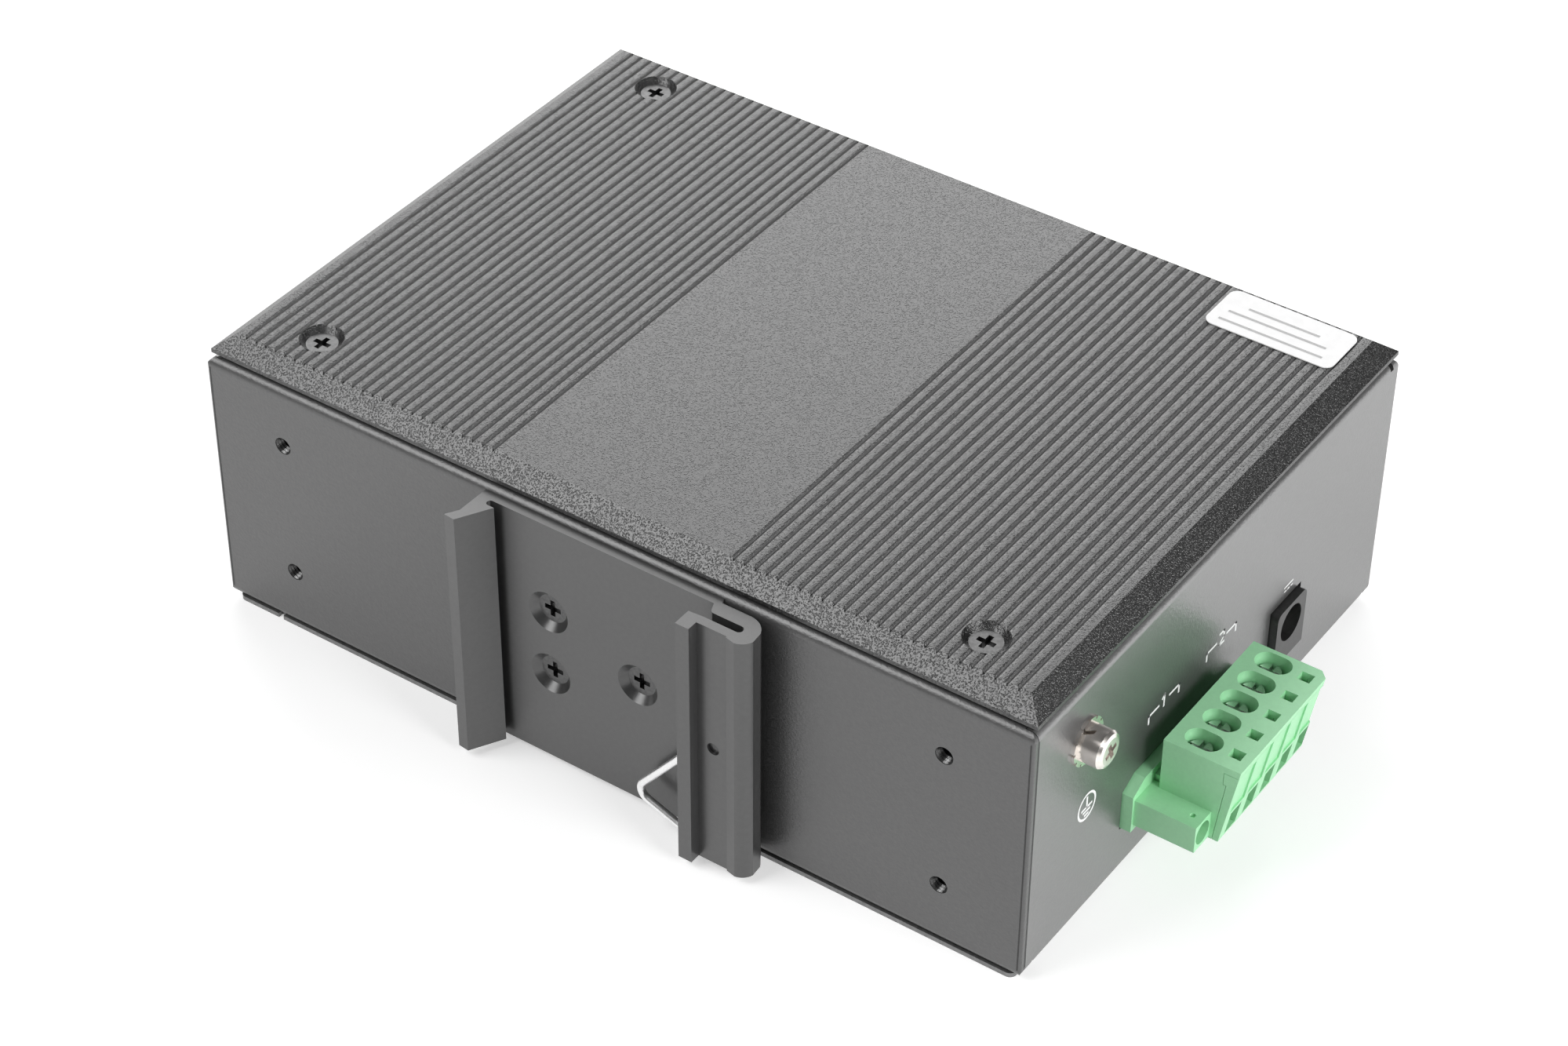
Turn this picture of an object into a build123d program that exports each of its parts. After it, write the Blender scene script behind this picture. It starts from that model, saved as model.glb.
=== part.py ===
from build123d import *
import math
import os

os.makedirs("parts", exist_ok=True)

# Frame: origin at the centre of the base, X along the long back edge, rail side at minus Y, up is Z.

# folded sheet case
case_length = 148.5
case_depth = 105.0
case_top = 47.5
sheet = 1.0
bend_radius = 1.5
sheared_radius = 0.4
flange_width = 6.0
seam = 0.12
base_sheet = 0.8
base_inset_end = 1.3
base_inset_back = 0.15
base_corner = 1.2
base_notch_inset = 10.05
base_notch_width = 1.0
base_notch_depth = 0.9
foot_wrap = 3.1
relief_width = 0.9
relief_height = 1.3
corner_gap = 2.2
tab_length = 8.5
tab_low = 6.0
tab_high = 41.0

# cover with ribs
cover_end_inset = 0.25
cover_back_inset = 1.0
cover_gap = 0.5
cover_skirt = 0.7
bevel_height = 2.5
bevel_width = 3.1
seat_inset = 2.0
rib_pitch = 1.9
rib_count = 26
rib_margin = 0.9
rib_depth = 0.42
rib_crest_half = 0.42
rib_shoulder_half = 0.68
rib_shoulder_drop = 0.08
rib_flank_half = 0.84
rib_flank_drop = 0.31

# screws through the cover and the base
pillar_end_inset = 14.3
pillar_side_inset = 9.3
pillar_radius = 3.0
cover_cone = 7.0
cover_hole = 3.4
screw_head = 5.0
screw_shank = 2.9
shank_clearance = 0.1
cover_screw_tip = 41.0
base_cone = 5.6
base_head = 5.5
base_cone_end = 4.0
base_screw_length = 8.0
pillar_cone = 4.6
recess_arm = 2.9
recess_width = 0.85
recess_depth = 0.9

# label
label_length = 22.0
label_width = 10.0
label_corner = 1.6
label_thick = 0.15
label_shift_x = -1.6
label_shift_y = 0.7

# holes in the back face
hole_level = 24.25
wall_hole_inset = 14.25
wall_hole_rise = 12.5
wall_hole = 3.0
collar_wall = 0.9
collar_reach = 1.3

# rail bracket, outward distances from the back face
bracket_low = 1.5
bracket_high = 46.9
plate_thick = 1.6
plate_left = -20.1
plate_right = 22.6
hook_outer_x = -20.25
hook_outer_d = 6.0
hook_front_x = -21.5
hook_front_d = 8.0
hook_corner_x = -19.6
hook_corner_d = 8.2
hook_tip_x = -16.5
rail_slot = 1.15
rail_slot_x = -17.6
step_x = 22.0
step_d = 3.1
rear_gap = 0.9
channel_x = 23.0
channel_d = 3.4
channel_width = 1.4
channel_end_x = 28.1
arm_d = 6.35
lip_left = 20.0
lip_right = 22.35
lip_inner_d = 5.0
lip_outer_d = 8.2
ridge_x = 27.6
ridge_d = 6.6
nose_crown_x = 29.2
nose_crown_d = 6.95
nose_shoulder_x = 30.6
nose_shoulder_d = 6.3
nose_tip_x = 31.3
nose_tip_d = 5.2
nose_side_x = 31.15
nose_side_d = 3.2
nose_heel_x = 29.95
nose_heel_d = 1.6
bracket_screw_x = 8.1
bracket_screw_rise = 6.0
bracket_cone = 7.2
bracket_screw_length = 6.0

# wire spring and its pin
wire = 1.25
pin_x = 25.1
pin_level = 24.2
pin_radius = 1.0
pin_recess = 0.5
pin_clearance = 0.05
pin_inner_d = 1.9
eye_sweep = 215.0
wire_bend_x = 16.9
wire_bend_level = 16.0
wire_bend_radius = 6.0
wire_apex_x = 9.0
wire_apex_level = 6.2
wire_apex_radius = 1.9
wire_low_x = 17.5
wire_low_level = 3.0
wire_low_radius = 6.0
wire_end_x = 25.4
wire_end_level = 2.2

# circuit board
board_top = 9.9
board_thick = 1.6
board_end_gap = 1.45
board_back_gap = 1.7
board_front_gap = 0.5
board_corner = 2.0
pillar_clearance = 0.4
standoff_flats = 5.5
standoff_bore = 3.0
standoff_left_inset = 10.25
standoff_right_inset = 15.25
standoff_back_inset = 10.5
standoff_middle_x = 30.0
standoff_left_levels = [-15.0, 22.0]
standoff_right_y = 10.0
board_hole = 3.4
board_screw_head = 5.5
board_screw_high = 2.0
board_screw_length = 6.5

# terminal header and plug
pole_pitch = 5.08
pole_count = 5
pole_first = -17.6
header_proud = 1.75
header_length = 10.5
header_near = -25.8
header_far = 6.2
header_high = 18.4
header_ear_high = 16.7
header_ear_slope = 3.2
header_wall = 1.3
header_floor = 1.5
header_rear_wall = 2.0
cutout_clearance = 0.25
post = 1.0
post_level = 14.2
post_short = 2.0
post_drop = 2.0
post_clearance = 0.05
plug_gap = 1.5
plug_length = 12.7
plug_lean = 2.5
plug_low = 10.7
plug_high = 25.4
plug_near = -20.9
plug_far = 5.4
plug_corner = 1.2
nose_clearance = 0.2
nose_length = 7.5
socket_clearance = 0.2
well_back = 4.8
well_length = 5.9
well_width = 3.9
clamp_shift = -0.5
clamp_length = 4.0
clamp_width = 3.4
clamp_low = 11.6
clamp_high = 21.3
clamp_wall = 0.5
clamp_roof = 4.7
clamp_clearance = 0.1
clamp_screw_head = 3.7
clamp_screw_high = 23.5
clamp_screw_shank = 3.0
clamp_screw_tip = 16.0
slot_width = 0.7
slot_depth = 0.8
entry_width = 3.0
entry_low = 11.1
entry_high = 15.4
test_front = 2.5
test_length = 2.1
test_width = 1.9
test_depth = 5.5
pad_high = 23.8
pad_low = 16.0
pad_rib = 0.9
pad_depth = 0.3
face_drop = 1.3
face_step = 2.1
face_upper = 2.6
face_middle = 2.1
face_lower = 3.6
face_gap = 0.08
block_length = 10.2
block_near = -25.3
block_low = 11.1
block_high = 15.9
block_bore = 3.8
block_shoulder = 2.5
flange_head = 3.4
flange_head_length = 2.0
flange_shank = 2.5
flange_reach = 4.0
vent_back = 1.8
vent = 0.9

# power jack
jack_y = 21.9
jack_width = 9.0
jack_high = 20.5
jack_reach = 1.3
jack_length = 15.0
jack_round = 1.2
jack_axis_level = 16.5
jack_bore = 6.3
jack_bore_depth = 9.5
jack_pin_radius = 1.05
jack_pin_recess = 3.5
jack_pin_edge = 0.4

# ground screw
ground_y = -38.3
ground_level = 36.6
ground_shank = 2.9
ground_bore = 3.2
toothed_diameter = 7.8
toothed_thick = 0.5
toothed_count = 12
tooth_depth = 0.4
lock_diameter = 6.0
lock_thick = 1.3
lock_slit = 0.6
lock_turn = 200.0
lock_tilt = 30.0
ground_head = 6.0
ground_head_high = 2.3
ground_turn = 20.0
nut_flats = 5.5
nut_thick = 2.4
ground_length = 9.0

# port side
port_columns = 4
port_pitch = 15.0
port_centre = -17.0
port_border = 1.0
port_block_high = 25.4
port_block_depth = 29.9
port_proud = 0.4
port_width = 12.0
port_height = 7.0
port_depth = 15.0
port_row_low = 6.9
port_row_high = 18.5
latch_width = 6.4
latch_height = 1.5
shield = 0.25
contact_count = 8
contact_pitch = 1.02
contact_width = 0.4
contact_thick = 0.3
contact_length = 6.5
contact_start = 5.0
cage_end_inset = 27.65
cage_pitch = 15.5
cage_width = 14.25
cage_height = 9.8
cage_length = 48.0
cage_wall = 0.4
connector_width = 11.2
connector_height = 6.0
connector_length = 8.5
pipe_radius = 1.0
pipe_clearance = 0.15
pipe_level = 2.4
pipe_bar_height = 3.6
pipe_bar_depth = 4.0
pipe_reach = 10.8
pipe_recess = 0.1
pipe_pitch = 7.5
pipe_count = 8

# parts on the board
chip_size = 24.0
chip_thick = 1.6
chip_x = -10.0
chip_y = -15.0
pad_thick = 0.5
block_size = 26.0
chip_edge = 0.3
block_edge = 1.0
magnetic_gap = 6.2
magnetic_edge = 0.5
magnetic_length = 12.6
magnetic_width = 9.6
magnetic_height = 6.2
inductor_places = [(-49.5, 18.5), (-34.0, 30.5), (-52.0, 47.5)]
inductor_size = 12.0
inductor_height = 7.5
inductor_edge = 2.0
capacitor_places = [(20.0, 18.5), (34.0, 28.5), (46.0, 18.5), (46.0, 38.5)]
capacitor_radius = 5.0
capacitor_height = 20.0

half_length = case_length / 2
half_depth = case_depth / 2
back_face = -half_depth
back_inner = back_face + sheet
end_face = half_length
end_inner = half_length - sheet
face_inner = half_depth - sheet
cover_low = case_top + cover_gap
cover_edge = cover_low + cover_skirt
cover_top = cover_edge + bevel_height
half_cover = half_length - cover_end_inset
cover_back = back_face + cover_back_inset
cover_front = half_depth
pillar_x = half_cover - pillar_end_inset
pillar_near = cover_back + pillar_side_inset
pillar_far = cover_front - pillar_side_inset
pillar_places = [(x, y) for x in (-pillar_x, pillar_x) for y in (pillar_near, pillar_far)]
board_low = board_top - board_thick
header_front = end_face + header_proud
header_back = header_front - header_length
poles = [pole_first + pole_pitch * index for index in range(pole_count)]
port_face = half_depth + port_proud
port_block_back = port_face - port_block_depth
cage_last = end_face - cage_end_inset
cage_places = [cage_last - cage_pitch, cage_last]
margin = 1.0


def block(x0, x1, y0, y1, z0, z1):
    """A box between two corners."""
    middle = Pos((x0 + x1) / 2, (y0 + y1) / 2, (z0 + z1) / 2)
    return middle * Box(abs(x1 - x0), abs(y1 - y0), abs(z1 - z0))


def rod_x(x0, x1, y, z, radius):
    """A cylinder along X."""
    return Pos((x0 + x1) / 2, y, z) * Rot(0, 90, 0) * Cylinder(radius, abs(x1 - x0))


def rod_y(y0, y1, x, z, radius):
    """A cylinder along Y."""
    return Pos(x, (y0 + y1) / 2, z) * Rot(90, 0, 0) * Cylinder(radius, abs(y1 - y0))


def rod_z(z0, z1, x, y, radius):
    """A cylinder along Z."""
    return Pos(x, y, (z0 + z1) / 2) * Cylinder(radius, abs(z1 - z0))


def turned(points):
    """A solid of revolution about Z from (radius, level) points."""
    outline = Plane.XZ * make_face(Polyline(*points, close=True))
    return revolve(outline, Axis.Z)


def along_x(points, x0, x1):
    """A prism along X from (y, z) points."""
    outline = Plane.YZ * make_face(Polyline(*points, close=True))
    return Pos(x0, 0, 0) * extrude(outline, amount=x1 - x0)


def along_y(points, y0, y1):
    """A prism along Y from (x, z) points."""
    outline = Plane.XZ * make_face(Polyline(*points, close=True))
    return Pos(0, y1, 0) * extrude(outline, amount=y1 - y0)


def countersink(cone, hole, depth):
    """The cutting shape of a right-angled cone with its mouth at level zero and a straight hole under it."""
    mouth = cone / 2
    bore = hole / 2
    return turned([(0, -depth), (bore, -depth), (bore, bore - mouth), (mouth + margin, margin),
                   (0, margin)])


def cross_recess(arm, width, depth):
    """The cutting shape of a cross-shaped driver recess with its mouth at level zero."""
    lengthwise = block(-arm / 2, arm / 2, -width / 2, width / 2, -depth, margin)
    crosswise = block(-width / 2, width / 2, -arm / 2, arm / 2, -depth, margin)
    return lengthwise + crosswise


def flat_screw(head, shank, cone_end, length):
    """A flat-head screw with its head at level zero and its tip down."""
    step = (cone_end - head) / 2
    body = turned([(0, -length), (shank / 2, -length), (shank / 2, step), (cone_end / 2, step),
                   (head / 2, 0), (0, 0)])
    return body - cross_recess(recess_arm, recess_width, recess_depth)


def round_screw(head, height, shank, length):
    """A round-head screw with its seat at level zero and its tip down."""
    return turned([(0, -length), (shank / 2, -length), (shank / 2, 0), (head / 2, 0),
                   (head / 2, height * 0.7),
                   (head * 0.45, height * 0.9), (head * 0.36, height), (0, height)])


def case_block(inset):
    """The rounded block that the case is folded round, drawn in by an inset."""
    length = case_length - 2 * inset
    depth = case_depth - 2 * inset
    height = case_top - base_sheet - 2 * inset
    radius = bend_radius - inset
    level = (case_top + base_sheet) / 2
    side = Pos(-length / 2, 0, level) * extrude(Plane.YZ * RectangleRounded(depth, height, radius),
                                                amount=length)
    front = Pos(0, depth / 2, level) * extrude(Plane.XZ * RectangleRounded(length, height, radius),
                                               amount=depth)
    plan = Rectangle(length, depth)
    plan = fillet(plan.vertices().sort_by(Axis.Y)[-2:], radius)
    if inset == 0:
        plan = fillet(plan.vertices().sort_by(Axis.Y)[:2], sheared_radius)
    top = Pos(0, 0, level - height / 2) * extrude(plan, amount=height)
    return side & front & top


def back_regions(grow):
    """The parts of the folded shell that belong to the back sheet."""
    reach = back_inner + grow
    inner = end_face - corner_gap + grow
    return [
        block(-half_length - margin, half_length + margin, back_face - margin, reach, 0, case_top + margin),
        block(-inner, inner, back_face, back_face + flange_width + grow, case_top - 2 * sheet,
              case_top + margin),
        block(-inner, inner, back_face, back_face + flange_width + grow, 0, base_sheet + 2 * sheet),
        block(-half_length - margin, half_length + margin, back_face, back_face + foot_wrap + grow,
              0, base_sheet + sheet + grow),
    ]


def header_outline(grow):
    """The (y, z) outline of the terminal header with its slanted ear."""
    return [(header_near - grow, board_top - grow), (header_near - grow, header_ear_high + grow),
            (header_near + header_ear_slope - grow, header_high + grow),
            (header_far + grow, header_high + grow),
            (header_far + grow, board_top - grow)]


nodes = {}

# case shell, split into the wrap and the back sheet
outer = case_block(0)
inner = case_block(sheet)
opening_x = half_length - flange_width
opening_y = half_depth - flange_width
shell = outer - inner
shell -= block(-opening_x, opening_x, -opening_y, opening_y, -margin, case_top + margin)

wrap = shell
for region in back_regions(seam):
    wrap -= region
relief_y = back_face + foot_wrap
for side in (-1, 1):
    end = side * (half_length + margin)
    wall = side * (half_length - corner_gap)
    wrap -= block(wall, end, relief_y, relief_y + relief_width, 0, base_sheet + relief_height)
    wrap -= block(wall, end, half_depth - bend_radius - relief_width, half_depth - bend_radius,
                  0, base_sheet + relief_height)
    wrap -= block(wall, end, half_depth - bend_radius - relief_width, half_depth - bend_radius,
                  case_top - relief_height, case_top + margin)

# cut-outs in the right end
wrap -= along_x(header_outline(cutout_clearance), end_inner - margin, end_face + margin)
jack_near = jack_y - jack_width / 2
jack_far = jack_y + jack_width / 2
wrap -= block(end_inner - margin, end_face + margin, jack_near - cutout_clearance,
              jack_far + cutout_clearance,
              board_low - cutout_clearance, jack_high + cutout_clearance)
wrap -= rod_x(end_inner - margin, end_face + margin, ground_y, ground_level, ground_bore / 2)

# cut-outs in the port face
ports_width = port_columns * port_pitch + 2 * port_border
ports_left = port_centre - ports_width / 2
ports_right = port_centre + ports_width / 2
ports_top = board_top + port_block_high
wrap -= block(ports_left - shield - cutout_clearance, ports_right + shield + cutout_clearance,
              face_inner - margin, half_depth + margin, board_top - cutout_clearance,
              ports_top + shield + cutout_clearance)
for place in cage_places:
    wrap -= block(place - cage_width / 2 - cutout_clearance, place + cage_width / 2 + cutout_clearance,
                  face_inner - margin, half_depth + margin, board_top - cutout_clearance,
                  board_top + cage_height + cutout_clearance)
pipe_first = port_centre - pipe_pitch * (pipe_count - 1) / 2
pipe_places = [pipe_first + pipe_pitch * index for index in range(pipe_count)]
pipe_axis = ports_top + shield + pipe_level
for place in pipe_places:
    wrap -= rod_y(face_inner - margin, half_depth + margin, place, pipe_axis, pipe_radius + pipe_clearance)
nodes["case_wrap"] = wrap

regions = back_regions(0)
back = shell & regions[0]
for region in regions[1:]:
    back += shell & region
for side in (-1, 1):
    back += block(side * (end_inner - sheet), side * end_inner, back_inner - sheet / 2,
                  back_inner + tab_length,
                  tab_low, tab_high)
bracket_screws = [(-bracket_screw_x, hole_level - bracket_screw_rise),
                  (-bracket_screw_x, hole_level + bracket_screw_rise), (bracket_screw_x, hole_level)]
wall_hole_x = half_length - wall_hole_inset
wall_holes = [(x, hole_level + z) for x in (-wall_hole_x, wall_hole_x) for z in (-wall_hole_rise,
                                                                                 wall_hole_rise)]
for x, z in wall_holes + bracket_screws:
    back += rod_y(back_inner - sheet / 2, back_inner + collar_reach, x, z, wall_hole / 2 + collar_wall)
for x, z in wall_holes + bracket_screws:
    back -= rod_y(back_face - margin, back_inner + collar_reach + margin, x, z, wall_hole / 2)
nodes["back_sheet"] = back

# base sheet under the case
base = extrude(RectangleRounded(case_length - 2 * base_inset_end,
                                               case_depth - 2 * base_inset_back, base_corner),
               amount=base_sheet)
base_notch_x = base_notch_inset - half_length
base -= block(base_notch_x - base_notch_width / 2, base_notch_x + base_notch_width / 2, back_face - margin,
              back_face + base_inset_back + base_notch_depth, -margin, base_sheet + margin)
for x, y in pillar_places:
    base -= Pos(x, y, 0) * Rot(180, 0, 0) * countersink(base_cone, base_cone_end, base_sheet + margin)
nodes["base_sheet"] = base

# ribbed cover
rib_end = half_cover - bevel_width - rib_margin
rib_start = rib_end - rib_pitch * rib_count
wave = [(rib_crest_half, 0.0), (rib_shoulder_half, rib_shoulder_drop), (rib_flank_half, rib_flank_drop),
        (rib_pitch / 2, rib_depth)]
wave += [(rib_pitch - across, drop) for across, drop in reversed(wave[:-1])]
right_side = []
for index in range(rib_count):
    crest = rib_start + rib_pitch * index
    for across, drop in wave:
        right_side.append((crest + across, cover_top - drop))
left_side = [(-x, z) for x, z in reversed(right_side)]
outline = left_side + right_side
outline += [(half_cover - bevel_width, cover_top), (half_cover, cover_edge), (half_cover, cover_low),
            (-half_cover, cover_low), (-half_cover, cover_edge), (bevel_width - half_cover, cover_top)]
cover = along_y(outline, cover_back, cover_front)
slope = bevel_width / bevel_height
over = bevel_height + margin
for edge_y, inward in ((cover_back, 1), (cover_front, -1)):
    wedge = Plane.YZ * make_face(Polyline((edge_y - inward * margin, cover_edge - margin / slope),
                                          (edge_y + inward * slope * over, cover_edge + over),
                                          (edge_y - inward * margin, cover_edge + over), close=True))
    cover -= Pos(-case_length, 0, 0) * extrude(wedge, amount=2 * case_length)
cover += block(seat_inset - half_cover, half_cover - seat_inset, cover_back + seat_inset,
               cover_front - seat_inset,
               case_top, cover_low + cover_skirt / 2)
for x, y in pillar_places:
    cover -= Pos(x, y, cover_top) * countersink(cover_cone, cover_hole, cover_top - case_top + margin)
nodes["ribbed_cover"] = cover

# pillars and screws that hold the cover and the base
pillars = []
cover_screws = []
base_screws = []
head_drop = (cover_cone - screw_head) / 2
base_drop = (base_cone - base_head) / 2
for x, y in pillar_places:
    pillar = rod_z(base_sheet, case_top, x, y, pillar_radius)
    pillar -= rod_z(0, case_top + margin, x, y, (screw_shank + shank_clearance) / 2)
    pillar -= Pos(x, y, base_sheet) * Rot(180, 0, 0) * countersink(pillar_cone, screw_shank, margin)
    pillars.append(pillar)
    length = cover_top - head_drop - cover_screw_tip
    cover_screws.append(Pos(x, y, cover_top - head_drop) * flat_screw(screw_head, screw_shank, cover_hole,
                                                                      length))
    base_screws.append(Pos(x, y, base_drop) * Rot(180, 0, 0)
                       * flat_screw(base_head, screw_shank, base_cone_end, base_screw_length))
nodes["corner_pillars"] = Compound(children=pillars)
nodes["cover_screws"] = Compound(children=cover_screws)
nodes["base_screws"] = Compound(children=base_screws)

nodes["seal_label"] = Pos(pillar_x + label_shift_x, pillar_far + label_shift_y, cover_top) * extrude(
    RectangleRounded(label_length, label_width, label_corner), amount=label_thick)


# rail bracket, drawn as (x, outward distance)
def outward(x, distance):
    """A plan point from its outward distance."""
    return (x, back_face - distance)


channel_top = channel_d + channel_width
slot_top = plate_thick + rail_slot
curves = [
    Polyline(outward(rail_slot_x, plate_thick), outward(step_x, plate_thick), outward(plate_right, step_d),
             outward(channel_x, channel_d), outward(channel_end_x, channel_d)),
    ThreePointArc(outward(channel_end_x, channel_d),
                  outward(channel_end_x + channel_width / 2, channel_d + channel_width / 2),
                  outward(channel_end_x, channel_top)),
    Polyline(outward(channel_end_x, channel_top), outward(lip_right, channel_top),
             outward(lip_left, lip_inner_d),
             outward(lip_left, lip_outer_d), outward(lip_right, lip_outer_d), outward(lip_right, arm_d),
             outward(ridge_x, arm_d), outward(ridge_x, ridge_d), outward(nose_crown_x, nose_crown_d)),
    ThreePointArc(outward(nose_crown_x, nose_crown_d), outward(nose_shoulder_x, nose_shoulder_d),
                  outward(nose_tip_x, nose_tip_d)),
    Polyline(outward(nose_tip_x, nose_tip_d), outward(nose_side_x, nose_side_d)),
    ThreePointArc(outward(nose_side_x, nose_side_d), outward(nose_heel_x, nose_heel_d),
                  outward(ridge_x, rear_gap)),
    Polyline(outward(ridge_x, rear_gap), outward(channel_x, rear_gap), outward(plate_right, 0),
             outward(plate_left, 0), outward(hook_outer_x, hook_outer_d),
             outward(hook_front_x, hook_front_d),
             outward(hook_corner_x, hook_corner_d), outward(hook_tip_x, slot_top),
             outward(rail_slot_x, slot_top)),
    ThreePointArc(outward(rail_slot_x, slot_top), outward(rail_slot_x - rail_slot / 2,
                                                          plate_thick + rail_slot / 2),
                  outward(rail_slot_x, plate_thick)),
]
section = make_face([edge for curve in curves for edge in curve.edges()])
bracket = Pos(0, 0, bracket_low) * extrude(section, amount=bracket_high - bracket_low)
screws = []
bracket_drop = (bracket_cone - screw_head) / 2
cone_end = bracket_cone - 2 * plate_thick
for x, z in bracket_screws:
    seat = Pos(x, back_face - plate_thick, z) * Rot(90, 0, 0)
    bracket -= seat * countersink(bracket_cone, cone_end, plate_thick + margin)
    screws.append(seat * Pos(0, 0, -bracket_drop) * flat_screw(screw_head, screw_shank, cone_end,
                                                              bracket_screw_length))
bracket -= rod_y(back_face - arm_d - margin, back_face - pin_inner_d, pin_x, pin_level,
                 pin_radius + pin_clearance)
nodes["rail_bracket"] = bracket
nodes["bracket_screws"] = Compound(children=screws)
nodes["spring_pin"] = rod_y(back_face - arm_d + pin_recess, back_face - pin_inner_d, pin_x, pin_level,
                            pin_radius)

# wire spring, an eye round the pin and one long bend
wire_y = back_face - channel_d - channel_width / 2
eye = pin_radius + wire / 2
reach_x = wire_bend_x - pin_x
reach_z = wire_bend_level - pin_level
turn = math.atan2(reach_z, reach_x) - math.acos(eye / math.hypot(reach_x, reach_z))


def eye_point(angle):
    """A point of the eye round the pin."""
    return (pin_x + eye * math.cos(angle), wire_y, pin_level + eye * math.sin(angle))


def rounded(before, corner, after, radius):
    """The two ends and the middle of an arc that rounds a corner of the wire."""
    first = (Vector(*before) - Vector(*corner)).normalized()
    second = (Vector(*after) - Vector(*corner)).normalized()
    half = math.acos(max(-1.0, min(1.0, first.dot(second)))) / 2
    reach = radius / math.tan(half)
    inward = (first + second).normalized()
    middle = Vector(*corner) + inward * (radius / math.sin(half) - radius)
    return Vector(*corner) + first * reach, middle, Vector(*corner) + second * reach


sweep_angle = math.radians(eye_sweep)
leave = eye_point(turn)
bend = (wire_bend_x, wire_y, wire_bend_level)
apex = (wire_apex_x, wire_y, wire_apex_level)
low = (wire_low_x, wire_y, wire_low_level)
finish = (wire_end_x, wire_y, wire_end_level)
bend_arc = rounded(leave, bend, apex, wire_bend_radius)
apex_arc = rounded(bend, apex, low, wire_apex_radius)
low_arc = rounded(apex, low, finish, wire_low_radius)
path = [
    ThreePointArc(eye_point(turn - sweep_angle), eye_point(turn - sweep_angle / 2), leave),
    Line(leave, bend_arc[0]),
    ThreePointArc(*bend_arc),
    Line(bend_arc[2], apex_arc[0]),
    ThreePointArc(*apex_arc),
    Line(apex_arc[2], low_arc[0]),
    ThreePointArc(*low_arc),
    Line(low_arc[2], finish),
]
route = Wire([edge for curve in path for edge in curve.edges()])
disc = Plane(origin=finish, z_dir=Vector(*finish) - low_arc[2]) * Circle(wire / 2)
nodes["wire_spring"] = sweep(disc, path=route)

# terminal header
header = along_x(header_outline(0), header_back, header_front)
post_front = header_front - post_short
block_axis_y = (block_near + plug_near) / 2
block_axis_level = (block_low + block_high) / 2
flange_tip_x = header_front - flange_reach
cavity_near = plug_near + header_wall - nose_clearance
cavity_far = header_far - header_wall
cavity_low = board_top + header_floor
cavity_high = header_high - header_wall
header -= block(header_back + header_rear_wall, header_front + margin, cavity_near, cavity_far,
                cavity_low, cavity_high)
posts = []
for y in poles:
    hole = post / 2 + post_clearance
    header -= block(header_back - margin, header_back + header_rear_wall + margin, y - hole, y + hole,
                    post_level - hole, post_level + hole)
    stem = block(header_back - post_drop, post_front, y - post / 2, y + post / 2,
                 post_level - post / 2, post_level + post / 2)
    leg = block(header_back - post_drop, header_back - post_drop + post, y - post / 2, y + post / 2,
                board_top, post_level + post / 2)
    posts.append(stem + leg)
header -= rod_x(flange_tip_x - margin, header_front + margin, block_axis_y, block_axis_level,
                (flange_shank + shank_clearance) / 2)
nodes["terminal_header"] = header
nodes["header_pins"] = Compound(children=posts)

# terminal plug
plug_back = header_front + plug_gap
plug_front = plug_back + plug_length
foot_x = plug_front - plug_lean
lean = plug_lean / (plug_high - plug_low)
nose_end = header_front - nose_length
block_front = header_front + block_length
block_shoulder_x = header_front + block_shoulder
well_x = plug_back + well_back
clamp_x = well_x + clamp_shift
test_x = plug_front - test_front
plug = along_y([(plug_back, plug_low), (foot_x, plug_low), (plug_front, plug_high), (plug_back, plug_high)],
               plug_near, plug_far)
for edge in plug.edges().filter_by(lambda item: item.length > 10 and abs(item.center().Y - plug_far) < 0.01
                                   and item.center().X > foot_x):
    plug = chamfer(edge, plug_corner)
plug += block(nose_end, plug_back + margin, cavity_near + nose_clearance, cavity_far - nose_clearance,
              cavity_low, cavity_high - nose_clearance)
plug += block(header_front, block_front, block_near, plug_near + margin, block_low, block_high)
plug -= rod_x(block_shoulder_x, block_front + margin, block_axis_y, block_axis_level, block_bore / 2)
plug -= rod_x(header_front - margin, block_front, block_axis_y, block_axis_level,
              (flange_shank + shank_clearance) / 2)
plug -= rod_z(block_axis_level, block_high + margin, block_front - vent_back, block_axis_y, vent / 2)
clamps = []
clamp_screws = []
pocket_back = clamp_x - clamp_length / 2 - clamp_clearance
pocket_front = clamp_x + clamp_length / 2 + clamp_clearance
pocket_half = clamp_width / 2 + clamp_clearance
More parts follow.
